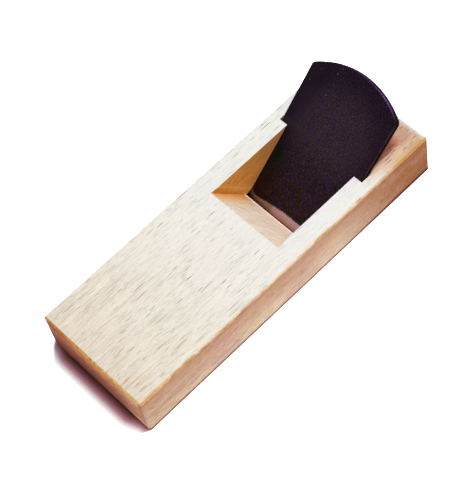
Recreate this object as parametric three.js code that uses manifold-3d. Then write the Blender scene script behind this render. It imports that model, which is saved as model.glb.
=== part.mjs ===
// Single-iron Japanese smoothing plane: a hardwood block with the blade wedged into tapered side grooves.
// Millimetres. X runs along the block, with the leading toe end at -X and the struck head end at +X.
// Y runs across the block, and Z is up from the sole. The origin is the middle of the sole.
import * as THREE from "three";
import { mergeVertices, toCreasedNormals } from "three/addons/utils/BufferGeometryUtils.js";
import Module from "manifold-3d";

const wasm = await Module();
wasm.setup();

// Driving sizes of the wooden block
const blockLength = 160;
const blockWidth = 57;
const blockHeight = 23;
const longArris = 0.9;
const toeArris = 0.7;
const cornerArris = 0.7;
const soleArris = 0.5;
const headChamfer = 1.0;

// Driving sizes of the throat, which is cut through the block for the shavings
const toeToThroat = 83.4;
const toeToLip = 100;
const throatWidth = 37.8;
const lipHeight = 0.5;
const heelHeight = 0.5;
const mouthGap = 0.5;
const reliefHeight = 2.5;
const reliefSpread = 0.7;
const reliefTopWidth = 4.0;
const reliefTopSpread = 0.2;

// Driving sizes of the bed, given as the joiner's rise and run
const bedRise = 8;
const bedRun = 10;
const bedClearance = 0.3;
const grooveClearance = 0.3;
const sideClearance = 0.5;

// Driving sizes of the blade
const bladeLength = 70.5;
const edgeWidth = 44.2;
const shoulderWidth = 46.4;
const edgeThickness = 2.6;
const headThickness = 4.8;
const rimDepth = 2.6;
const headRadius = 39;
const shoulderRadius = 2.6;
const frontArris = 0.3;
const bevelAngle = THREE.MathUtils.degToRad(30);
const earWidth = 2.4;
const earLength = 3.2;
const edgeLift = 0.1;
const sideSet = 0.15;

// Driving sizes of the hard steel facing and of the hollow ground in it
const steelLength = 38;
const steelThickness = 1.0;
const weldSeam = 0.1;
const hollowDepth = 0.3;
const hollowSlope = 1.0;
const edgeLand = 3.4;
const sideLand = 2.6;
const topLand = 4.0;
const hollowEdgeRadius = 3.6;
const hollowTopRadius = 13;

// How far every cut runs past the face that it leaves
const overrun = 2;

// Steps round each arc
const headSteps = 48;
const cornerSteps = 10;

// Places worked out from the sizes
const toeX = -blockLength / 2;
const headX = blockLength / 2;
const halfBlock = blockWidth / 2;
const halfThroat = throatWidth / 2;
const throatX = toeX + toeToThroat;
const lipX = toeX + toeToLip;
const wedgeSlope = (headThickness - edgeThickness) / bladeLength;
const bedAngle = Math.atan2(bedRise, bedRun);
const frontAngle = bedAngle + Math.atan(wedgeSlope);
const edgeX = lipX + mouthGap + edgeLift / Math.tan(frontAngle);

// Turns a closed three.js geometry into a solid that can be joined and cut
function toSolid(geometry) {
  const bare = geometry.clone();
  bare.deleteAttribute("normal");
  bare.deleteAttribute("uv");
  const welded = mergeVertices(bare);
  const mesh = new wasm.Mesh({
    numProp: 3,
    vertProperties: new Float32Array(welded.attributes.position.array),
    triVerts: new Uint32Array(welded.index.array),
  });
  return new wasm.Manifold(mesh);
}

// Turns a solid back into a named mesh with crisp arrises and smooth arcs
function toNode(name, solid, material) {
  const data = solid.getMesh();
  const geometry = new THREE.BufferGeometry();
  geometry.setAttribute("position", new THREE.BufferAttribute(data.vertProperties, data.numProp));
  geometry.setIndex(new THREE.BufferAttribute(data.triVerts, 1));
  const creaseAngle = THREE.MathUtils.degToRad(25);
  const mesh = new THREE.Mesh(toCreasedNormals(geometry, creaseAngle), material);
  mesh.name = name;
  return mesh;
}

// A flat outline pushed along Z from one height to another
function prism(points, from, to) {
  const shape = new THREE.Shape(points.map(([x, y]) => new THREE.Vector2(x, y)));
  const geometry = new THREE.ExtrudeGeometry(shape, { depth: to - from, bevelEnabled: false });
  geometry.translate(0, 0, from);
  return geometry;
}

// A side outline of [x, z] points pushed across the width, centred on y = 0
function crossPrism(points, width) {
  return prism(points, -width / 2, width / 2).rotateX(Math.PI / 2);
}

// A rectangle with a corner cut of its own size at each corner, counter-clockwise from the lower left
function cutRectangle(left, bottom, right, top, cuts) {
  const [lowerLeft, lowerRight, upperRight, upperLeft] = cuts;
  return [
    [left + lowerLeft, bottom],
    [right - lowerRight, bottom],
    [right, bottom + lowerRight],
    [right, top - upperRight],
    [right - upperRight, top],
    [left + upperLeft, top],
    [left, top - upperLeft],
    [left, bottom + lowerLeft],
  ];
}

// A closed skin over rings of [x, y] points, each ring at its own height and all with the same count
function loft(rings) {
  const count = rings[0].outline.length;
  const positions = rings.flatMap(({ outline, z }) => outline.flatMap(([x, y]) => [x, y, z]));
  const triangles = [];
  for (let level = 0; level + 1 < rings.length; level += 1) {
    for (let i = 0; i < count; i += 1) {
      const lower = level * count + i;
      const lowerNext = level * count + ((i + 1) % count);
      triangles.push(lower, lowerNext, lowerNext + count);
      triangles.push(lower, lowerNext + count, lower + count);
    }
  }
  const flat = rings[0].outline.map(([x, y]) => new THREE.Vector2(x, y));
  const top = (rings.length - 1) * count;
  for (const [a, b, c] of THREE.ShapeUtils.triangulateShape(flat, [])) {
    triangles.push(c, b, a);
    triangles.push(top + a, top + b, top + c);
  }
  const geometry = new THREE.BufferGeometry();
  geometry.setAttribute("position", new THREE.Float32BufferAttribute(positions, 3));
  geometry.setIndex(triangles);
  return geometry;
}

// Points round an arc, both ends included
function arcPoints(centreX, centreY, radius, start, end, steps) {
  return Array.from({ length: steps + 1 }, (_, i) => {
    const angle = start + ((end - start) * i) / steps;
    return [centreX + radius * Math.cos(angle), centreY + radius * Math.sin(angle)];
  });
}

// Blade frame: x runs up the front face from the cutting edge, y across, z out of the front face
const bladeFrame = new THREE.Matrix4().makeRotationY(-frontAngle).setPosition(edgeX, 0, edgeLift);

// The blade widens a little from the cutting edge to the shoulders below its arched head
const headCentre = bladeLength - headRadius;
const shoulderX = headCentre + Math.sqrt(headRadius ** 2 - (shoulderWidth / 2) ** 2);
const sideSlope = (shoulderWidth - edgeWidth) / 2 / shoulderX;
const sideAngle = Math.atan(sideSlope);
const halfWidthAt = (x) => edgeWidth / 2 + sideSlope * x;

// Outline of the blade drawn in by an inset. The shoulder arcs touch both the side and the head arc.
function bladeOutline(inset) {
  const alongSide = Math.hypot(1, sideSlope);
  const offset = edgeWidth / 2 - shoulderRadius * alongSide;
  const reach = headRadius - shoulderRadius;
  const a = 1 + sideSlope ** 2;
  const b = sideSlope * offset - headCentre;
  const c = headCentre ** 2 + offset ** 2 - reach ** 2;
  const shoulderCentreX = (-b + Math.sqrt(b ** 2 - a * c)) / a;
  const shoulderCentreY = offset + sideSlope * shoulderCentreX;
  const headAngle = Math.atan2(shoulderCentreY, shoulderCentreX - headCentre);
  const sideNormal = Math.PI / 2 + sideAngle;
  const earSlope = (halfWidthAt(earLength) - edgeWidth / 2 + earWidth) / earLength;
  const tipY = edgeWidth / 2 - earWidth - earSlope * overrun - inset;
  const right = [
    [-overrun, -tipY],
    [earLength, -halfWidthAt(earLength) + inset * alongSide],
    ...arcPoints(
      shoulderCentreX, -shoulderCentreY, shoulderRadius - inset, -sideNormal, -headAngle, cornerSteps,
    ),
  ];
  const head = arcPoints(headCentre, 0, headRadius - inset, -headAngle, headAngle, headSteps);
  const left = right.map(([x, y]) => [x, -y]).reverse();
  return [...right, ...head.slice(1, -1), ...left];
}

// The whole forged blade: square sides to the rim depth, then a chamfer that grows with the thickness
function bladeSolid() {
  const backChamfer = headThickness - rimDepth;
  const body = toSolid(loft([
    { outline: bladeOutline(backChamfer), z: -rimDepth - backChamfer },
    { outline: bladeOutline(0), z: -rimDepth },
    { outline: bladeOutline(0), z: -frontArris },
    { outline: bladeOutline(frontArris), z: 0 },
  ]));
  const far = bladeLength + overrun;
  const bevelHeel = edgeThickness / (Math.tan(bevelAngle) - wedgeSlope);
  const wedge = crossPrism([
    [0, 0],
    [bevelHeel, -edgeThickness - wedgeSlope * bevelHeel],
    [far, -edgeThickness - wedgeSlope * far],
    [far, overrun],
    [0, overrun],
  ], blockWidth);
  return body.intersect(toSolid(wedge));
}

// The hollow in the front face, with sloping walls and rounded corners, drawn in by an inset
function hollowOutline(inset) {
  const low = edgeLand + inset;
  const high = steelLength - topLand - inset;
  const side = (x) => halfWidthAt(x) - sideLand - inset;
  const lowRadius = hollowEdgeRadius - inset;
  const highRadius = hollowTopRadius - inset;
  const quarter = Math.PI / 2;
  const lowX = low + lowRadius;
  const highX = high - highRadius;
  return [
    ...arcPoints(lowX, -side(lowX) + lowRadius, lowRadius, -2 * quarter, -quarter, cornerSteps),
    ...arcPoints(highX, -side(highX) + highRadius, highRadius, -quarter, 0, cornerSteps),
    ...arcPoints(highX, side(highX) - highRadius, highRadius, 0, quarter, cornerSteps),
    ...arcPoints(lowX, side(lowX) - lowRadius, lowRadius, quarter, 2 * quarter, cornerSteps),
  ];
}

function hollowSolid() {
  return toSolid(loft([
    { outline: hollowOutline(hollowSlope), z: -hollowDepth },
    { outline: hollowOutline(-hollowSlope), z: hollowDepth },
  ]));
}

// The part of the blade frame that the steel facing fills, grown by the weld seam for the iron
function facingSolid(seam) {
  const depth = -steelThickness - seam;
  const end = steelLength + seam;
  return toSolid(crossPrism([
    [-overrun, depth],
    [end, depth],
    [end, overrun],
    [-overrun, overrun],
  ], blockWidth));
}

// The bed is the plane of the blade's back, set off by its clearance
const backX = edgeX + edgeThickness * Math.sin(frontAngle) + bedClearance * Math.sin(bedAngle);
const backZ = edgeLift - edgeThickness * Math.cos(frontAngle) - bedClearance * Math.cos(bedAngle);
const bedXAt = (z) => backX + ((z - backZ) * bedRun) / bedRise;
const slopeXAt = (z) => lipX - ((lipX - throatX) * (z - lipHeight)) / (blockHeight - lipHeight);

// Side outline of the void between the front slope and the bed, with the short upright mouth faces
const throatProfile = [
  [slopeXAt(blockHeight + overrun), blockHeight + overrun],
  [lipX, lipHeight],
  [lipX, -overrun],
  [bedXAt(heelHeight), -overrun],
  [bedXAt(heelHeight), heelHeight],
  [bedXAt(blockHeight + overrun), blockHeight + overrun],
];

// The tapered slot for the blade's edges, closed at the front by the groove faces and behind by the bed
function grooveSolid() {
  const low = -blockHeight;
  const high = bladeLength;
  const halfAt = (x) => halfWidthAt(x) + sideClearance;
  const slab = prism([
    [low, -halfAt(low)],
    [high, -halfAt(high)],
    [high, halfAt(high)],
    [low, halfAt(low)],
  ], -blockHeight, grooveClearance);
  slab.applyMatrix4(bladeFrame);
  return toSolid(slab).intersect(toSolid(crossPrism(throatProfile, blockWidth)));
}

// One relief facet: a band pared beside the front slope, which spreads the throat wall towards the mouth
function reliefSolid(side) {
  const heelX = lipX + mouthGap + reliefHeight / Math.tan(frontAngle);
  const heelWidth = heelX - slopeXAt(reliefHeight);
  const runOnShare = 1.12;
  const ringAt = (z) => {
    const heelShare = (blockHeight - z) / (blockHeight - reliefHeight);
    const lipShare = (blockHeight - z) / (blockHeight - lipHeight);
    const width = reliefTopWidth + (heelWidth - reliefTopWidth) * heelShare;
    const spread = reliefTopSpread + (reliefSpread - reliefTopSpread) * lipShare;
    const creaseX = slopeXAt(z) + width;
    const frontX = creaseX - width * runOnShare;
    const outline = [
      [creaseX, side * halfThroat],
      [frontX, side * (halfThroat + spread * runOnShare)],
      [frontX, side * (halfThroat - overrun)],
    ];
    return { outline: side > 0 ? outline : outline.reverse(), z };
  };
  const band = loft([ringAt(-overrun), ringAt(blockHeight + overrun)]);
  return toSolid(band).intersect(toSolid(crossPrism(throatProfile, blockWidth)));
}

// The block: its three outlines crossed, then the throat, the grooves and the relief facets cut out
function blockSolid() {
  const plan = cutRectangle(
    toeX, -halfBlock, headX, halfBlock, [cornerArris, cornerArris, cornerArris, cornerArris],
  );
  const side = cutRectangle(
    toeX, 0, headX, blockHeight, [soleArris, soleArris, headChamfer, toeArris],
  );
  const end = cutRectangle(
    -halfBlock, 0, halfBlock, blockHeight, [soleArris, soleArris, longArris, longArris],
  );
  const planSolid = toSolid(prism(plan, -overrun, blockHeight + overrun));
  const sideSolid = toSolid(crossPrism(side, blockWidth + overrun));
  const endGeometry = prism(end, toeX - overrun, headX + overrun);
  endGeometry.rotateX(Math.PI / 2).rotateZ(Math.PI / 2);
  const block = planSolid.intersect(sideSolid).intersect(toSolid(endGeometry));
  const throat = toSolid(crossPrism(throatProfile, throatWidth));
  return block.subtract(throat).subtract(grooveSolid()).subtract(reliefSolid(1)).subtract(reliefSolid(-1));
}

const wood = new THREE.MeshStandardMaterial({ color: 0xdcc8a6, roughness: 0.62, metalness: 0 });
const forgedIron = new THREE.MeshStandardMaterial({ color: 0x241c28, roughness: 0.5, metalness: 0.6 });
const hardSteel = new THREE.MeshStandardMaterial({ color: 0x8f8a8c, roughness: 0.3, metalness: 1 });

const plane = new THREE.Group();
plane.add(toNode("dai_block", blockSolid(), wood));

const bladeGroup = new THREE.Group();
bladeGroup.rotation.y = -frontAngle;
bladeGroup.position.set(edgeX, -sideSet, edgeLift);
const blade = bladeSolid();
bladeGroup.add(toNode("blade_iron", blade.subtract(facingSolid(weldSeam)), forgedIron));
bladeGroup.add(toNode("blade_steel", blade.intersect(facingSolid(0)).subtract(hollowSolid()), hardSteel));
plane.add(bladeGroup);

export default plane;
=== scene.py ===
# A small single-iron Japanese smoothing plane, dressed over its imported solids.
# Objects are in metres, and the colours of the wood and the blade are placed in millimetres.
# X runs along the block from the leading toe end to the struck head end. Z is up from the sole.
import math

import bmesh
import bpy
from mathutils import Matrix, Vector


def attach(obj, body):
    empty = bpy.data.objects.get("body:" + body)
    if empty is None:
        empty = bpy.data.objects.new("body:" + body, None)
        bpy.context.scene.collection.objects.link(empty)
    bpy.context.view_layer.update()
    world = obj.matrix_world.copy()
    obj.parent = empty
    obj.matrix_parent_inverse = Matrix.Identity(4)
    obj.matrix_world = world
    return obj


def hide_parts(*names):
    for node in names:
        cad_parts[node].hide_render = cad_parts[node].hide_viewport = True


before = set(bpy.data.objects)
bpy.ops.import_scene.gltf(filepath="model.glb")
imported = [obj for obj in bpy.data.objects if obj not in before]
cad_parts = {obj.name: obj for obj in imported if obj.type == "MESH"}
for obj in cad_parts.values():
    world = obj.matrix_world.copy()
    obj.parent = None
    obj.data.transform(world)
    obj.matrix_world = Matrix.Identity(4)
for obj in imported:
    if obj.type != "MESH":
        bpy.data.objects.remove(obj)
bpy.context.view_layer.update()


# Camera
# The lens and place were worked out from the block's edges, so the picture has the photo's frame.
# It looks down on the plane from its leading end and its right side, and is rolled a little.
eye = Vector((-0.18405, -0.28931, 0.5944))
aim = Vector((-0.00662, 0.00046, 0.0115))
roll = math.radians(-14.73)
turn = (aim - eye).to_track_quat("-Z", "Y").to_matrix() @ Matrix.Rotation(roll, 3, "Z")

camera_data = bpy.data.cameras.new("camera")
camera_data.sensor_fit = "VERTICAL"
camera_data.sensor_height = 36
camera_data.lens = 120.647
camera = bpy.data.objects.new("camera", camera_data)
camera.matrix_world = Matrix.Translation(eye) @ turn.to_4x4()
bpy.context.scene.collection.objects.link(camera)
bpy.context.scene.camera = camera


# Floor and studio light
# A pale table top under one strip lamp, which hangs across the plane, a little past its middle.
# The table is white where the lamp reaches it, and carries a painted wine-coloured shadow at the
# toe.
class Term:
    """A socket in a tree of nodes. Python's operators on it add Math nodes."""

    def __init__(self, recipe, socket):
        self.recipe = recipe
        self.socket = socket

    def math(self, operation, first, second):
        return self.recipe.node(
            "ShaderNodeMath", {"operation": operation}, {0: first, 1: second})

    def __add__(self, other):
        return self.math("ADD", self, other)

    def __radd__(self, other):
        return self.math("ADD", other, self)

    def __sub__(self, other):
        return self.math("SUBTRACT", self, other)

    def __rsub__(self, other):
        return self.math("SUBTRACT", other, self)

    def __mul__(self, other):
        return self.math("MULTIPLY", self, other)

    def __rmul__(self, other):
        return self.math("MULTIPLY", other, self)

    def __truediv__(self, other):
        return self.math("DIVIDE", self, other)

    def __abs__(self):
        return self.recipe.node("ShaderNodeMath", {"operation": "ABSOLUTE"}, {0: self})

    def __pow__(self, other):
        return self.math("POWER", self, other)


class Recipe:
    """The nodes of one material or of the world, added one at a time."""

    def __init__(self, tree):
        self.tree = tree
        tree.nodes.clear()

    def node(self, kind, settings, inputs, output=0):
        """Adds a node, sets its settings and then its sockets, and gives one of its outputs."""
        added = self.tree.nodes.new(kind)
        for name, value in settings.items():
            if name == "stops":
                row = added.color_ramp
                while len(row.elements) < len(value):
                    row.elements.new(1)
                for element, (place, colour) in zip(row.elements, value):
                    element.position = place
                    element.color = (*colour, 1)
            else:
                setattr(added, name, value)
        open_sockets = [socket for socket in added.inputs if socket.enabled]
        for name, value in inputs.items():
            if isinstance(name, str):
                socket = next(s for s in open_sockets if s.name == name)
            else:
                socket = open_sockets[name]
            if isinstance(value, Term):
                self.tree.links.new(value.socket, socket)
            elif socket.type == "RGBA":
                socket.default_value = (*value, 1)
            else:
                socket.default_value = value
        shown = [socket for socket in added.outputs if socket.enabled]
        if not shown:
            return None
        if isinstance(output, str):
            return Term(self, next(s for s in shown if s.name == output))
        return Term(self, shown[output])

    def ramp(self, value, low, high):
        """A smooth step from 0 at low to 1 at high."""
        return self.node(
            "ShaderNodeMapRange", {"interpolation_type": "SMOOTHSTEP"},
            {"Value": value, "From Min": low, "From Max": high})

    def larger(self, first, second):
        """The larger of two numbers."""
        return self.node("ShaderNodeMath", {"operation": "MAXIMUM"}, {0: first, 1: second})

    def parts(self, vector):
        """The three numbers of a vector."""
        return [self.node("ShaderNodeSeparateXYZ", {}, {0: vector}, axis) for axis in range(3)]

    def point(self, x, y, z):
        """A vector from three numbers."""
        return self.node("ShaderNodeCombineXYZ", {}, {0: x, 1: y, 2: z})

    def mix(self, share, first, second):
        """Blends two colours."""
        return self.node(
            "ShaderNodeMix", {"data_type": "RGBA"}, {"Factor": share, "A": first, "B": second})

    def lay(self, colour, layers):
        """Lays more colours over the first in turn, each with its own share."""
        for share, layer in layers:
            colour = self.mix(share, colour, layer)
        return colour

    def tint(self, share, colour, glass):
        """A colour seen through coloured glass."""
        return self.node(
            "ShaderNodeMix", {"data_type": "RGBA", "blend_type": "MULTIPLY"},
            {"Factor": share, "A": colour, "B": glass})

    def scaled(self, colour, amount):
        """A colour or a place times a number."""
        return self.node(
            "ShaderNodeVectorMath", {"operation": "SCALE"}, {0: colour, "Scale": amount})

    def stops(self, value, colours):
        """A row of colours that blend into each other, each at its own place along the value."""
        return self.node("ShaderNodeValToRGB", {"stops": colours}, {"Fac": value})


def new_recipe(name):
    """A new material and its empty recipe."""
    material = bpy.data.materials.new(name)
    material.use_nodes = True
    return material, Recipe(material.node_tree)


# The table lies a hair below the sole, so the two never share a face
table_half = 2.0
table_height = -5e-5
floor_mesh = bpy.data.meshes.new("table_top")
floor_mesh.from_pydata(
    [(-table_half, -table_half, table_height), (table_half, -table_half, table_height),
     (table_half, table_half, table_height), (-table_half, table_half, table_height)],
    [], [(0, 1, 2, 3)])
floor = bpy.data.objects.new("table_top", floor_mesh)
bpy.context.scene.collection.objects.link(floor)

floor_material, table = new_recipe("white_table")
by_camera = table.node("ShaderNodeLightPath", {}, {}, "Is Camera Ray")
by_gloss = table.node("ShaderNodeLightPath", {}, {}, "Is Glossy Ray")
place = table.node("ShaderNodeTexCoord", {}, {}, "Object")
table_x, table_y, _ = table.parts(place)
distance = table.node("ShaderNodeVectorMath", {"operation": "LENGTH"}, {0: place}, "Value")
far_away = table.ramp(distance, 0.15, 0.4)
bounced_colour = (0.88, 0.84, 0.80)
seen_colour = (1.75, 1.90, 1.95)
table_tone = table.mix(by_camera, bounced_colour, seen_colour)

# A painted shadow at the toe runs from brown to wine and then to white, and is narrower at its two
# ends
toe_ahead = 0.0800
shadow_reach = 0.008
shadow_middle = 0.0012
shadow_taper = 0.0021
shadow_gain = 1.75
shadow_ends = table.ramp(abs(table_y - shadow_middle), 0.0180, 0.0262)
ahead = shadow_ends * shadow_taper - toe_ahead - table_x
painted_shadow_tone = table.stops(ahead / shadow_reach, [
    (0.04, (0.086, 0.032, 0.016)), (0.25, (0.24, 0.104, 0.116)),
    (0.375, (0.415, 0.200, 0.253)), (0.50, (0.57, 0.36, 0.45)),
    (0.625, (0.76, 0.70, 0.775)), (0.75, (0.92, 0.97, 1.0))])
painted_shadow_tone = table.scaled(painted_shadow_tone, shadow_gain)
painted_toe_shadow = table.ramp(ahead, 0.0068, 0.0058) * table.ramp(ahead, -0.0040, 0.0)
painted_toe_shadow = painted_toe_shadow * table.ramp(abs(table_y), 0.0335, 0.0265)

# Beside the block the table is overexposed, but for a thin painted shadow line at the foot of its
# right side
overexposed = (2.9, 2.9, 2.9)
right_flare, left_flare = 0.5, 1.07
ahead_of_toe = table.larger(-toe_ahead - table_x, 0.0)
beside_right = table.ramp(ahead_of_toe * right_flare - table_y, 0.0282, 0.0291)
beside_left = table.ramp(ahead_of_toe * left_flare + table_y, 0.0284, 0.0304)
beside = table.larger(beside_right, beside_left) * by_camera
foot_shadow_line = table.ramp(table_y, -0.02880, -0.02850) * table.ramp(table_y, -0.026, -0.027)
foot_shadow_line = foot_shadow_line * table.ramp(abs(table_x), 0.0802, 0.0792)
foot_shadow_tone = table.mix(
    table.ramp(table_x, 0.030, 0.060), (0.38, 0.13, 0.09), (0.12, 0.022, 0.016))
# The table under the block is painted near-black, a painted shade seen through the mouth
under_block = table.ramp(abs(table_x), 0.0795, 0.0785) * table.ramp(abs(table_y), 0.028, 0.027)
table_tone = table.lay(table_tone, [
    (painted_toe_shadow * by_camera, painted_shadow_tone),
    (beside * table.ramp(abs(table_y), 0.060, 0.040), overexposed),
    (foot_shadow_line * by_camera, foot_shadow_tone),
    (under_block, (0.02, 0.012, 0.01)),
])
matte = table.node("ShaderNodeBsdfDiffuse", {}, {"Color": table_tone})
white = table.node("ShaderNodeEmission", {}, {"Color": (1, 1, 1), "Strength": 1})
seen_white = far_away * table.larger(by_camera, by_gloss)
surface = table.node("ShaderNodeMixShader", {}, {0: seen_white, 1: matte, 2: white})
table.node("ShaderNodeOutputMaterial", {}, {"Surface": surface})
floor_mesh.materials.append(floor_material)

# The room is white to the eye and dimmer as a light
room_light = 0.40
world = bpy.data.worlds.new("studio")
bpy.context.scene.world = world
world.use_nodes = True
room = Recipe(world.node_tree)
camera_ray = room.node("ShaderNodeLightPath", {}, {}, "Is Camera Ray")
glossy_ray = room.node("ShaderNodeLightPath", {}, {}, "Is Glossy Ray")
clear_ray = room.node("ShaderNodeLightPath", {}, {}, "Is Transmission Ray")
direct = room.node(
    "ShaderNodeMath", {"operation": "MAXIMUM", "use_clamp": True},
    {0: camera_ray, 1: glossy_ray + clear_ray})
strength = room_light + direct * (1 - room_light)
backdrop = room.node("ShaderNodeBackground", {}, {"Color": (1, 1, 1), "Strength": strength})
room.node("ShaderNodeOutputWorld", {}, {"Surface": backdrop})

# The lamp's power is set for the light that reaches the plane, whatever its distance
lamp_distance = 0.7
lamp_light = 0.665
lamp_direction = Vector((0.21, -0.14, 0.97)).normalized()
lamp_turn = lamp_direction.to_track_quat("Z", "Y").to_matrix().to_4x4()
lamp_data = bpy.data.lights.new("strip_lamp", "AREA")
lamp_data.shape = "RECTANGLE"
lamp_data.size = 0.50
lamp_data.size_y = 0.18
lamp_data.energy = lamp_light * (math.pi * lamp_distance) ** 2
lamp = bpy.data.objects.new("strip_lamp", lamp_data)
lamp.matrix_world = Matrix.Translation(lamp_direction * lamp_distance) @ lamp_turn
lamp.visible_camera = False
bpy.context.scene.collection.objects.link(lamp)

bpy.context.scene.view_settings.view_transform = "Standard"


# The block
# The body of the plane is one billet of pale hardwood, planed on all faces and left bare.
# Its top is pale with short dark flecks along the grain; its sides and ends are warmer, partly
# painted shade.
# The throat is chopped out with chisels, and a small chamfer is planed along every outer arris.
wood_material, wood = new_recipe("planed_hardwood")
metres = wood.node("ShaderNodeTexCoord", {}, {}, "Object")
normal = wood.node("ShaderNodeTexCoord", {}, {}, "Normal")
millimetres_in_metre = 1000
at = wood.scaled(metres, millimetres_in_metre)
along, across, up = wood.parts(at)
face_x, face_y, face_z = wood.parts(normal)

block_length = 160
block_height = 23
slanting, square = 0.86, 0.97
top_face = wood.ramp(face_z, slanting, square)
sole_face = wood.ramp(face_z, -slanting, -square)
end_face = wood.ramp(abs(face_x), slanting, square)
side_face = wood.ramp(abs(face_y), slanting, square)
in_throat = wood.ramp(abs(across), 26.5, 25.5) * wood.ramp(abs(along), 79, 78)
in_throat = in_throat * (1 - top_face) * (1 - sole_face)


def stretched(recipe, vector, lengths):
    """The vector with each axis measured in its own length."""
    return recipe.node("ShaderNodeVectorMath", {"operation": "DIVIDE"}, {0: vector, 1: lengths})


def noise(recipe, vector, lengths, detail, output=0):
    """Soft noise from 0 to 1, with its own length along each axis."""
    return recipe.node(
        "ShaderNodeTexNoise", {},
        {"Vector": stretched(recipe, vector, lengths), "Scale": 1, "Detail": detail}, output)


def dashes(recipe, vector, lengths, rarity):
    """Long thin spots, one in each cell of these lengths. A high rarity leaves few of them dark."""
    spot_edge, spot_core = 0.25, 0.13
    cell_place = stretched(recipe, vector, lengths)
    cell = {"Vector": cell_place, "Scale": 1}
    reach = recipe.node("ShaderNodeTexVoronoi", {}, cell, "Distance")
    cell_colour = recipe.node("ShaderNodeTexVoronoi", {}, cell, "Color")
    return recipe.ramp(reach, spot_edge, spot_core) * recipe.parts(cell_colour)[0] ** rarity


def oval(first, second, middle, reach):
    """Grows from 0 in the middle of an oval patch to 1 at its edge, and on outside it."""
    return ((first - middle[0]) / reach[0]) ** 2 + ((second - middle[1]) / reach[1]) ** 2


# The grain runs a little out of line with the block and wanders, and its marks follow it
grain_drift = 0.015
grain_sway = (5, 3, 2)
sway = noise(wood, at, (26, 12, 12), 1, "Color")
straight = wood.point(along, across + along * grain_drift, up)
grain = wood.node(
    "ShaderNodeVectorMath", {"operation": "MULTIPLY_ADD"}, {0: sway, 1: grain_sway, 2: straight})
toe_half = wood.ramp(along, 20, -70)
fleck = wood.ramp(noise(wood, grain, (6.5, 0.32, 0.32), 1), 0.62, 0.70)
tick = dashes(wood, grain, (9, 0.68, 0.68), 3.0 - toe_half * 0.8)
long_fleck = dashes(wood, grain, (22, 0.85, 0.85), 4.4 - toe_half * 1.4)
side_dash = dashes(wood, grain, (7, 1.2, 1.1), 2.2)
patchy = 0.6 + wood.ramp(noise(wood, grain, (16, 4, 4), 2), 0.42, 0.60) * 0.7
fine = noise(wood, grain, (1.3, 0.40, 0.40), 1)
fibre = noise(wood, grain, (6, 0.5, 0.5), 2)
streak = wood.ramp(noise(wood, grain, (13, 0.7, 0.7), 1), 0.52, 0.66)
broad = noise(wood, grain, (40, 4, 4), 2)
long_streak = noise(wood, grain, (36, 1.5, 1.5), 1)
cloud = noise(wood, at, (28, 9, 9), 2)
blush = wood.ramp(noise(wood, at, (16, 9, 7), 2), 0.46, 0.62)
blotch = wood.ramp(noise(wood, at, (6, 2, 2), 2), 0.46, 0.62)

# Growth rings round a heart far below the sole, a little out of line with the block
heart_across = 12
heart_depth = 150
heart_drift = 0.035
ring_width = 2.6
ring_waver = 5
ring_across = across - heart_across
ring_up = up + heart_depth + along * heart_drift
ring_radius = (ring_across * ring_across + ring_up * ring_up) ** 0.5
ring_place = (ring_radius + (cloud - 0.5) * ring_waver) / ring_width
ring = wood.node("ShaderNodeMath", {"operation": "FRACT"}, {0: ring_place})
late_wood = ring * ring

# The top is creamy at the toe and whiter towards the head
top_tone = wood.stops((along + block_length / 2) / block_length, [
    (0.0, (0.785, 0.695, 0.575)), (0.15, (0.81, 0.765, 0.665)),
    (0.4, (0.835, 0.808, 0.74)), (0.6, (0.815, 0.816, 0.772))])

# The sides are golden under the arris, and painted lighter and pinker towards the foot as light
# from the table
side_tone = wood.stops(up / block_height, [
    (0.05, (0.96, 0.69, 0.49)), (0.3, (0.94, 0.68, 0.49)), (0.6, (0.84, 0.560, 0.40)),
    (0.80, (0.78, 0.480, 0.31)), (0.9, (0.72, 0.410, 0.230)), (0.96, (0.72, 0.40, 0.21))])
# They are painted darker brown towards the head, a painted shade
towards_head = wood.ramp(along, 22, 68)
low_middle = wood.ramp(along, -68, -52) * wood.ramp(up, 11, 4)
low_head = wood.ramp(along, 64, 76) * wood.ramp(up, 14, 4)
saw_line = wood.ramp(noise(wood, at, (0.5, 4, 5), 1), 0.45, 0.62) * towards_head
foot = wood.ramp(up, 1.7 + towards_head * 0.5, 0.9 + towards_head * 0.4)
# Painted light lifts the low middle, painted shade darkens the low head end, and a painted shadow
# lines the foot
side_tone = wood.lay(side_tone, [
    (low_middle * 0.8, (1.0, 0.80, 0.62)),
    (towards_head, (0.53, 0.21, 0.080)),
    (low_head * 0.4, (0.36, 0.13, 0.05)),
    (blush * (0.42 - towards_head * 0.12), (0.78, 0.44, 0.37)),
    (saw_line * 0.32, (0.28, 0.10, 0.05)),
    (foot * (0.50 + towards_head * 0.45), (0.20, 0.045, 0.020)),
])
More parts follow.
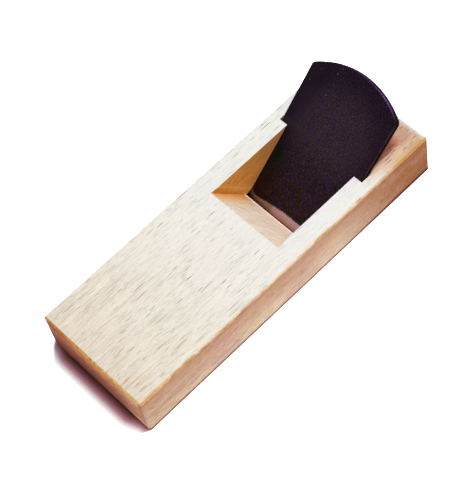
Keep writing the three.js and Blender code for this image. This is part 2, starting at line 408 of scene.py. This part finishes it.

# The toe end is golden under its upper arris, and painted darker, wine-brown, towards the sole as
# shade
toe_tone = wood.stops(up / block_height, [
    (0.06, (0.195, 0.061, 0.050)), (0.22, (0.31, 0.080, 0.070)), (0.39, (0.41, 0.116, 0.088)),
    (0.56, (0.49, 0.166, 0.088)), (0.74, (0.79, 0.325, 0.106)), (0.87, (0.92, 0.385, 0.095)),
    (0.95, (0.97, 0.50, 0.160))])
# It is painted darker towards the left, a painted shade
toe_tone = wood.scaled(toe_tone, 1.02 - wood.ramp(across, -5, 25) * 0.16)
beside_corner = wood.ramp(across, -13, -27)
left_top = wood.ramp(across, 10, 22) * wood.ramp(up, 13, 17)
corner_line = wood.ramp(abs(across + 27.3), 0.9, 0.2) * wood.ramp(up, 2, 9)
knot = wood.ramp(oval(across, up, (-27.4, 18.2), (1.8, 4.2)), 1.0, 0.2)
# Painted light lightens it beside the right corner, and painted shade darkens its lower middle and
# left top
toe_tone = wood.lay(toe_tone, [
    (wood.ramp(across, 2, -26) * 0.24, (0.90, 0.56, 0.38)),
    (wood.ramp(across, 8, -15) * wood.ramp(up, 9, 3) * 0.5, (0.46, 0.16, 0.12)),
    (beside_corner * wood.ramp(up, 21, 12) * 0.75, (0.88, 0.42, 0.29)),
    (beside_corner * wood.ramp(up, 8, 2) * 0.92, (1.0, 0.62, 0.48)),
    (beside_corner * wood.ramp(up, 14, 20) * 0.8, (1.0, 0.70, 0.40)),
    (left_top * 0.85, (0.60, 0.155, 0.115)),
    (left_top * wood.ramp(up, 17.5, 19.5) * 0.9, (0.53, 0.150, 0.035)),
    (corner_line * 0.5, (0.50, 0.19, 0.11)),
    (knot * 0.7, (0.52, 0.17, 0.07)),
])
head_tone = wood.mix(noise(wood, at, (40, 5, 5), 2), (0.62, 0.34, 0.18), (0.46, 0.22, 0.11))
head_half = wood.ramp(along, -1, 1)
end_tone = wood.mix(head_half, toe_tone, head_tone)

# End grain takes up dirt unevenly, in pores and in redder spots
end_mottle = wood.ramp(noise(wood, at, (4, 3.2, 1.6), 3), 0.40, 0.64)
red_spot = wood.ramp(noise(wood, at, (9, 5, 3), 2), 0.52, 0.68)
end_tone = wood.tint(end_mottle * 0.75, end_tone, (0.70, 0.585, 0.615))
end_tone = wood.node(
    "ShaderNodeVectorMath", {"operation": "MULTIPLY"}, {0: end_tone, 1: (1.17, 1.21, 1.21)})
end_tone = wood.mix(red_spot * 0.35, end_tone, (0.50, 0.11, 0.06))

# The long chamfers are pale on the left, a painted highlight, creamy on the right, and golden at
# both ends
highlit_arris = (0.97, 0.96, 0.93)
shaded_sole_arris = (0.12, 0.03, 0.02)
right_half = wood.ramp(across, 1, -1)
golden_spot = wood.ramp(noise(wood, at, (8, 3, 3), 1), 0.57, 0.66)
right_arris = wood.mix(wood.ramp(up, 23.0, 22.2), (0.92, 0.82, 0.68), (0.80, 0.54, 0.34))
right_arris = wood.lay(right_arris, [
    (wood.ramp(along, -45, -72), (0.86, 0.50, 0.26)),
    (wood.ramp(along, 44, 66), (0.62, 0.35, 0.14)),
    (blotch * wood.ramp(up, 22.9, 22.2) * 0.55, (0.54, 0.29, 0.09)),
    (golden_spot * 0.7, (0.55, 0.31, 0.085)),
])
long_arris = wood.mix(right_half, highlit_arris, right_arris)
# Near the sole the chamfers are painted dark, a painted shade
long_arris = wood.mix(wood.ramp(up, 1.5, 0.8), long_arris, shaded_sole_arris)

# The toe's chamfer is golden with dark spots, and the upright ones take the tone of their faces
scorch = wood.ramp(noise(wood, at, (2, 1.5, 2), 2), 0.47, 0.58)
scorch = scorch * (0.5 + wood.ramp(across, -20, 10) * 0.5) * wood.ramp(up, 23.0, 22.5)
toe_arris = wood.mix(wood.ramp(across, 22, -20), (0.78, 0.36, 0.065), (0.96, 0.64, 0.27))
toe_arris = wood.mix(scorch * 0.75, toe_arris, (0.40, 0.17, 0.025))
# The head's chamfer is a painted highlight, golden at its right corner
head_arris = wood.mix(wood.ramp(across, -25.5, -28), highlit_arris, (0.72, 0.40, 0.16))
end_arris = wood.mix(head_half, toe_arris, head_arris)
# Near the sole the end chamfers are painted dark too, a painted shade
end_arris = wood.mix(wood.ramp(up, 21.6, 20.8), end_arris, shaded_sole_arris)
upright_arris = wood.mix(right_half, end_tone, side_tone)
upright_arris = wood.mix(
    wood.ramp(along, 1, 2) * right_half, upright_arris, (0.42, 0.16, 0.11))
chamfer_tone = wood.mix(wood.ramp(abs(face_x), 0.25, 0.45), long_arris, end_arris)
chamfer_tone = wood.mix(wood.ramp(abs(face_z), 0.55, 0.35), chamfer_tone, upright_arris)

# The chopped walls are orange, with a painted highlight along the crease where the band pared
# beside the slope begins
band_start = 7.4
band_along, band_up = 0.7885, 0.6163
wall_face = wood.ramp(abs(face_y), 0.3, 0.7)
crease = (along - band_start) * band_along + (up - block_height) * band_up
wall_tone = wood.mix(wood.ramp(along, 8, 50), (0.94, 0.42, 0.086), (0.73, 0.325, 0.110))
band_tone = wood.mix(wood.ramp(along, 5, 21), (0.80, 0.33, 0.036), (1.0, 0.51, 0.155))
scratched = wood.ramp(oval(along, up, (16, 14.5), (10, 4.5)), 1.3, 0.4)
scratch_place = wood.point(along, across, up - along * 0.12)
scratch = wood.ramp(noise(wood, scratch_place, (14, 1, 0.55), 1), 0.60, 0.66) * scratched
wall_tone = wood.lay(wall_tone, [
    (wood.ramp(crease, 0.2, -0.2), band_tone),
    (wood.ramp(abs(crease), 0.6, 0.05) * 0.8, (0.99, 0.58, 0.26)),
    (scratch * 0.75, (0.30, 0.11, 0.02)),
])

# The slope in front of the blade shows the chisel's marks, and is golden beside the wall, a painted
# reflection
slope_start = 3.4
slope_along, slope_down = 0.594, 0.805
mark_angle = -1.05
slope_fall = (along - slope_start) * slope_along - (up - block_height) * slope_down
slope_place = wood.point(slope_fall, across, 0.0)
mark_place = wood.node(
    "ShaderNodeVectorRotate", {"rotation_type": "Z_AXIS"},
    {"Vector": slope_place, "Angle": mark_angle})
chop = noise(wood, slope_place, (5, 0.6, 1), 2) + noise(wood, slope_place, (0.45, 5, 1), 2)
hatch = wood.ramp(noise(wood, mark_place, (0.6, 9, 1), 1), 0.47, 0.60)
# A painted highlight runs along the lip, and the whole slope is painted brighter than its colour,
# as painted light
lip = wood.ramp(up, 2.2, 1.3)
slope_tone = wood.mix(wood.ramp(across, 7, 17), (1.0, 0.88, 0.73), (0.87, 0.62, 0.37))
slope_tone = wood.lay(slope_tone, [
    (wood.ramp(across + slope_fall * 0.10, 15.5, 19), (0.86, 0.45, 0.13)),
    (hatch * 0.45, (0.60, 0.44, 0.25)),
    (lip, (1.0, 0.88, 0.75)),
])
slope_tone = wood.scaled(slope_tone, 1.34 + lip * 0.14 - chop * 0.30)
throat_tone = wood.mix(wall_face, slope_tone, wall_tone)

# The top carries a painted brown shadow of the blade, beside and behind it
beside_blade = wood.ramp(along + wood.ramp(across, -26.5, -23.0) * 6, 48, 64)
beside_blade = beside_blade * wood.ramp(across, 0, -20) * (1 - wood.ramp(along, 76.5, 80) * 0.8)
near_blade = wood.ramp(across + wood.ramp(along, 64, 59) * 0.8, -24.8, -23.4)
close_by = wood.ramp(across, -22.6, -20.8)
near_tone = wood.mix(wood.ramp(along, 62, 67), (1.0, 0.65, 0.46), (0.86, 0.57, 0.39))
close_tone = wood.mix(wood.ramp(along, 62, 57), (0.63, 0.19, 0.118), (0.34, 0.095, 0.052))
behind_tone = wood.mix(wood.ramp(across, -24.5, -22.0), (0.71, 0.48, 0.32), (0.62, 0.37, 0.25))
painted_blade_shadow = wood.mix(near_blade, (0.82, 0.58, 0.41), near_tone)
painted_blade_shadow = wood.lay(painted_blade_shadow, [
    (close_by, close_tone),
    (wood.ramp(across, -25, -27.6) * wood.ramp(along, 50, 66), (0.74, 0.46, 0.21)),
    (wood.ramp(along - close_by * 2.5, 65.5, 71.5), behind_tone),
    (wood.ramp(across, -25, -27.2) * wood.ramp(along, 66, 73) * 0.6, (0.55, 0.30, 0.13)),
])
right_edge = wood.ramp(across, -27.0, -27.7)
cheek = wood.ramp(abs(across + 19.3), 2.6, 0.6) * wood.ramp(along, 8, 24) * wood.ramp(along, 57, 50)
top_tone = wood.lay(top_tone, [
    (beside_blade, painted_blade_shadow),
    (right_edge * (0.15 + blotch * 0.35), (0.80, 0.62, 0.42)),
    (blush * 0.10, (0.86, 0.74, 0.68)),
    (cheek * 0.55, (0.86, 0.73, 0.85)),
])

tone = wood.lay(chamfer_tone, [
    (top_face, top_tone),
    (sole_face, (0.80, 0.68, 0.52)),
    (side_face, side_tone),
    (end_face, end_tone),
    (in_throat, throat_tone),
])

# Fibres lighten and darken every face, and show more at the toe and off the top
off_top = 1 - top_face
pared = in_throat * (1 - wall_face)
plain_strip = wood.ramp(across, -16, -20) * wood.ramp(abs(along - 25), 27, 17) * top_face
quiet = 1 - pared * 0.75 - plain_strip * 0.45
lively = 0.55 + toe_half * 0.65 + off_top * 1.3 - pared * 1.2
figure = 1.05 + (0.5 - fibre) * lively * 0.17 + (0.5 - fine) * lively * 0.26 - late_wood * 0.03
figure = figure + (broad - 0.5) * (0.05 + off_top * 0.09 + side_face * (1 - towards_head) * 0.24)
figure = figure + (0.5 - long_streak) * (0.05 + toe_half * toe_half * 0.22 * top_face) * quiet
tone = wood.scaled(tone, figure)

# Streaks, flecks and dashes are brown on the top and orange-brown elsewhere
top_brown = wood.mix(toe_half, (0.24, 0.19, 0.14), (0.26, 0.135, 0.040))
brown = wood.mix(off_top, top_brown, (0.27, 0.065, 0.014))
long_brown = wood.mix(toe_half, (0.24, 0.14, 0.055), (0.21, 0.11, 0.030))
head_dash = wood.ramp(noise(wood, grain, (4, 0.55, 0.55), 1), 0.57, 0.66) * beside_blade * top_face
head_dash = head_dash * wood.ramp(along, 56, 64) * wood.ramp(across, -26.8, -25)
tone = wood.lay(tone, [
    (streak * toe_half * top_face * 0.24, (0.68, 0.46, 0.20)),
    (streak * (0.03 + toe_half * 0.03 + off_top * 0.09), brown),
    (fleck * patchy * (0.25 + toe_half * 0.19 + off_top * 0.09) * quiet, brown),
    (tick * (0.92 - toe_half * 0.02 - off_top * 0.47) * quiet, brown),
    (side_dash * side_face * 0.60, (0.33, 0.085, 0.022)),
    (head_dash * 0.75, (0.24, 0.12, 0.06)),
    (long_fleck * 0.95 * quiet, long_brown),
])

relief = fibre * 0.35 + fine * 0.2 - fleck * 0.4 - long_fleck * 0.8
grain_bump = wood.node(
    "ShaderNodeBump", {}, {"Strength": 0.35, "Distance": 0.00012, "Height": relief})
roughness = 0.60 + fleck * 0.12 - fibre * 0.08
bare_wood = wood.node(
    "ShaderNodeBsdfPrincipled", {},
    {"Base Color": tone, "Roughness": roughness, "Specular IOR Level": 0.06,
     "Normal": grain_bump})
wood.node("ShaderNodeOutputMaterial", {}, {"Surface": bare_wood})

crease_angle = math.radians(25)
flat_angle = math.radians(0.4)
weld_distance = 2e-6


def merged_copy(node_name, piece_name, material):
    """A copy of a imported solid, with its triangles joined into whole faces and crisp corners."""
    shape = bmesh.new()
    shape.from_mesh(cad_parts[node_name].data)
    bmesh.ops.remove_doubles(shape, verts=shape.verts, dist=weld_distance)
    bmesh.ops.dissolve_limit(
        shape, angle_limit=flat_angle, verts=shape.verts, edges=shape.edges)
    mesh = bpy.data.meshes.new(piece_name)
    shape.to_mesh(mesh)
    shape.free()
    mesh.materials.append(material)
    for face in mesh.polygons:
        face.use_smooth = True
    mesh.set_sharp_from_angle(angle=crease_angle)
    piece = bpy.data.objects.new(piece_name, mesh)
    bpy.context.scene.collection.objects.link(piece)
    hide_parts(node_name)
    return piece


block = merged_copy("dai_block", "block", wood_material)
softened = block.modifiers.new("softened_arrises", "BEVEL")
softened.width = 0.00022
softened.segments = 2
softened.limit_method = "ANGLE"
softened.angle_limit = crease_angle
softened.harden_normals = True
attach(block, "dai")


# The blade's iron
# Soft iron forged to a wedge with an arched head. Its skin is near-black scale, a little violet.
# A painted highlight runs along the front arris, and the scale is ground away on the bevel under
# the edge.
# The front face leans a little more than the bed, because the blade is thicker at its head.
millimetre = 0.001
lean = math.radians(40.4458)
edge_place = Vector((0.0206174, -0.00015, 0.0001))
blade_rise = Vector((math.cos(lean), 0, math.sin(lean)))
steel_end = 0.0380
weld_seam = 0.0001


def blade_place(recipe):
    """Millimetres in the blade's own frame: up the front face, across it, and out of it."""
    metres = recipe.node("ShaderNodeTexCoord", {}, {}, "Object")
    return recipe.node(
        "ShaderNodeMapping", {"vector_type": "TEXTURE"},
        {"Vector": metres, "Location": edge_place, "Rotation": (0, -lean, 0),
         "Scale": (millimetre, millimetre, millimetre)})


def blade_normal(recipe):
    """The direction that the surface faces, in the blade's own frame."""
    normal = recipe.node("ShaderNodeTexCoord", {}, {}, "Normal")
    return recipe.node(
        "ShaderNodeMapping", {"vector_type": "TEXTURE"},
        {"Vector": normal, "Rotation": (0, -lean, 0)})


def forge_skin(recipe, place):
    """The tone, grain and mottle of the dark front face, with a painted sheen in the middle and
    painted glints.
    """
    rise, width, _ = recipe.parts(place)
    grain = noise(recipe, place, (0.55, 0.55, 0.55), 2)
    mottle = noise(recipe, place, (6, 6, 6), 3)
    hue = noise(recipe, place, (3.2, 3.2, 3.2), 3)
    patch = noise(recipe, place, (4, 4, 4), 1)
    # A painted sheen brightens the middle of the face
    middle = recipe.ramp(oval(rise, width, (43, -1), (22.5, 22)), 1.15, 0.0)
    low_end = recipe.ramp(rise, 44, 8)
    # Low down it is painted browner, darker at the sides and browner still at the left, a painted
    # reflection of the walls
    left_wall_reflection = recipe.ramp(width, 9, 17) * recipe.ramp(rise, 24, 12)
    green = recipe.ramp(oval(rise, width, (22.5, 16.5), (6, 2.6)), 1, 0.1)
    violet_patch = recipe.ramp(patch, 0.50, 0.38) * low_end * recipe.ramp(width, 12, 5)
    low_tone = recipe.mix(
        recipe.ramp(rise, 30, 5), (0.0250, 0.0135, 0.0265), (0.0255, 0.0113, 0.0122))
    low_tone = recipe.lay(low_tone, [
        (recipe.ramp(abs(width), 9, 21) * 0.55, (0.0125, 0.0070, 0.0090)),
        (left_wall_reflection, (0.0205, 0.0084, 0.0050)),
    ])
    tone = recipe.mix(middle, (0.0150, 0.0080, 0.0150), (0.0315, 0.0185, 0.0275))
    tone = recipe.lay(tone, [
        (low_end * 0.85, low_tone),
        (recipe.ramp(hue, 0.46, 0.62) * middle * 0.4, (0.034, 0.024, 0.020)),
        (recipe.ramp(hue, 0.50, 0.36) * middle * 0.4, (0.030, 0.016, 0.046)),
        (recipe.ramp(patch, 0.50, 0.64) * low_end * 0.7, (0.0220, 0.0125, 0.0065)),
        (violet_patch * 0.6, (0.0215, 0.0090, 0.0300)),
        (green * 0.95, (0.0055, 0.0125, 0.0035)),
    ])
    # The scale's speckle is lit with painted glints, weaker towards the left
    painted_glint = recipe.ramp(grain, 0.58, 0.78)
    speckled = 0.30 + recipe.ramp(width, 17, 10) * 0.95
    light = 0.72 + (grain - 0.5) * speckled * 2.6 + mottle * 0.5 + painted_glint * speckled * 1.2
    return recipe.scaled(tone, light), grain, mottle


iron_material, iron = new_recipe("forge_scale")
iron_at = blade_place(iron)
rise, width, depth = iron.parts(iron_at)
tilt_rise, _, tilt_out = iron.parts(blade_normal(iron))
scale_tone, scale_grain, scale_mottle = forge_skin(iron, iron_at)

# The rim is painted blue-violet on the arch, a painted highlight. A broken painted highlight runs
# along the front arris of the head and the right side
rim = iron.ramp(tilt_out, 0.85, 0.5) * iron.ramp(tilt_out, -0.9, -0.4)
on_arch = iron.ramp(rise, 57, 61) * iron.ramp(width, 16, 8) * iron.ramp(width, -21.5, -15)
rim_tone = iron.mix(iron.ramp(width, -6, 12), (0.030, 0.011, 0.018), (0.016, 0.015, 0.017))
rim_tone = iron.mix(on_arch, rim_tone, (0.085, 0.030, 0.140))
front_arris = iron.ramp(tilt_out, 0.35, 0.55) * iron.ramp(tilt_out, 0.98, 0.90)
broken = iron.ramp(scale_grain, 0.44, 0.60)
head_arris_highlight = front_arris * broken * iron.ramp(width, -5, -14) * iron.ramp(width, -22, -18)
head_arris_highlight = head_arris_highlight * iron.ramp(rise, 52, 60)
side_arris_highlight = front_arris * (0.4 + broken * 0.6) * iron.ramp(width, -18, -22)
side_arris_highlight = side_arris_highlight * iron.ramp(rise, 63, 58)
spot_reach = iron.node("ShaderNodeTexVoronoi", {}, {"Vector": iron_at, "Scale": 0.26}, "Distance")
bright_spot = iron.ramp(spot_reach, 0.060, 0.025)
ground_bevel = iron.ramp(tilt_rise, -0.35, -0.45) * iron.ramp(tilt_out, -0.5, -0.7)
scale_tone = iron.lay(scale_tone, [
    (rim * (0.35 + iron.ramp(depth, -3.0, -1.0) * 0.55), rim_tone),
    (head_arris_highlight * 0.40, (0.19, 0.13, 0.23)),
    (side_arris_highlight * 0.55, (0.115, 0.060, 0.045)),
    (bright_spot * 0.35, (0.6, 0.55, 0.6)),
    (ground_bevel, (0.34, 0.32, 0.32)),
])
bevel_lines = noise(iron, iron_at, (0.2, 8, 0.2), 2)
iron_roughness = 0.55 - scale_grain * 0.12 - ground_bevel * 0.12
forged = iron.node(
    "ShaderNodeBump", {},
    {"Strength": 0.25, "Distance": 0.0003,
     "Height": scale_grain * 0.25 + scale_mottle + bevel_lines * 0.1})
iron_skin = iron.node(
    "ShaderNodeBsdfPrincipled", {},
    {"Base Color": scale_tone, "Metallic": 0.92, "Roughness": iron_roughness,
     "Specular Tint": (0.06, 0.045, 0.08), "Normal": forged})
iron.node("ShaderNodeOutputMaterial", {}, {"Surface": iron_skin})

# Every arris is eased but the one beside the weld, which meets the facing
blade_iron = merged_copy("blade_iron", "blade_body", iron_material)
shape = bmesh.new()
shape.from_mesh(blade_iron.data)
eased_share = shape.edges.layers.float.new("bevel_weight_edge")
for edge in shape.edges:
    middle = (edge.verts[0].co + edge.verts[1].co) / 2
    beside_seam = abs((middle - edge_place).dot(blade_rise) - steel_end - weld_seam) < weld_seam
    sharp = edge.calc_face_angle(0) > crease_angle
    edge[eased_share] = 1 if sharp and not beside_seam else 0
shape.to_mesh(blade_iron.data)
shape.free()
eased = blade_iron.modifiers.new("eased_arrises", "BEVEL")
eased.width = 0.0001
eased.segments = 2
eased.limit_method = "WEIGHT"
eased.harden_normals = True
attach(blade_iron, "blade")


# The blade's steel
# Hard steel forge-welded to the front of the iron at the edge, then hollow-ground and darkened.
# Only the narrow land behind the edge, and the bevel under it, are honed bright on a stone.
steel_material, steel = new_recipe("honed_steel")
steel_at = blade_place(steel)
steel_rise, steel_width, _ = steel.parts(steel_at)
_, _, steel_out = steel.parts(blade_normal(steel))
ground_tone, steel_grain, _ = forge_skin(steel, steel_at)

# The land is wide, narrows to the left corner, and turns up beside the hollow as a thin rim
hollow_low = 5.9
hollow_side = 15.2
hollow_corner = 4.0
ragged = noise(steel, steel_at, (0.55, 0.55, 0.55), 3)
below = steel.larger(hollow_low - steel_rise, 0.0)
beside = steel.larger(steel_width - hollow_side, 0.0)
widened = steel.ramp(steel_width, 14, 6) * 1.3 + steel.ramp(steel_width, 7, 0) * 0.5
widened = widened + steel.ramp(abs(steel_width - 12), 5, 2) * 0.32
past_hollow = (below * below + beside * beside) ** 0.5 + widened - hollow_corner
land = steel.ramp(past_hollow + (ragged - 0.5) * (0.6 + widened * 0.7), -0.3, 0.3)

# Its tone is a painted reflection: pink in the middle, browner and duller to the left, darker and
# warmer at the edge
left_reach = 20
land_tone = steel.stops(steel_width / left_reach, [
    (0.28, (0.48, 0.290, 0.315)), (0.35, (0.36, 0.200, 0.170)), (0.42, (0.33, 0.185, 0.145)),
    (0.60, (0.33, 0.225, 0.155)), (0.80, (0.24, 0.175, 0.150)), (0.94, (0.12, 0.085, 0.060))])
brushed = noise(steel, steel_at, (6, 0.5, 6), 3)
left_darkening = 0.25 + steel.ramp(steel_width, 3, 8) * 0.25 + steel.ramp(steel_width, 8, 15) * 0.28
edge_darkening = steel.ramp(steel_rise, 2.1, 0.4) * left_darkening + (brushed - 0.5) * 0.8
corner_darkening = steel.ramp(steel_width, 16, 19) * steel.ramp(steel_rise, 2.8, 1.8) * 0.7
land_tone = steel.scaled(land_tone, 1.0 - edge_darkening - corner_darkening * 0.3)
land_tone = steel.tint(steel.ramp(steel_rise, 1.7, 0.2), land_tone, (1.0, 0.78, 0.55))

bevel_face = steel.ramp(steel_out, -0.3, -0.6)
steel_tone = steel.lay(ground_tone, [
    (land * steel.ramp(steel_rise, 9, 4), land_tone),
    (bevel_face, (0.62, 0.60, 0.60)),
])
stone_lines = noise(steel, steel_at, (0.15, 6, 0.15), 2)
honed = steel.node(
    "ShaderNodeBump", {},
    {"Strength": 0.15, "Distance": 0.00005, "Height": stone_lines + steel_grain * 0.5})
steel_skin = steel.node(
    "ShaderNodeBsdfPrincipled", {},
    {"Base Color": steel_tone, "Metallic": 0.95,
     "Roughness": 0.5 - steel.larger(land, bevel_face) * 0.22, "Normal": honed})
steel.node("ShaderNodeOutputMaterial", {}, {"Surface": steel_skin})

# The facing's upper end is drawn across the weld seam, where the real metals are one
blade_steel = merged_copy("blade_steel", "blade_facing", steel_material)
for vertex in blade_steel.data.vertices:
    if (vertex.co - edge_place).dot(blade_rise) > steel_end - weld_seam:
        vertex.co += blade_rise * weld_seam
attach(blade_steel, "blade")
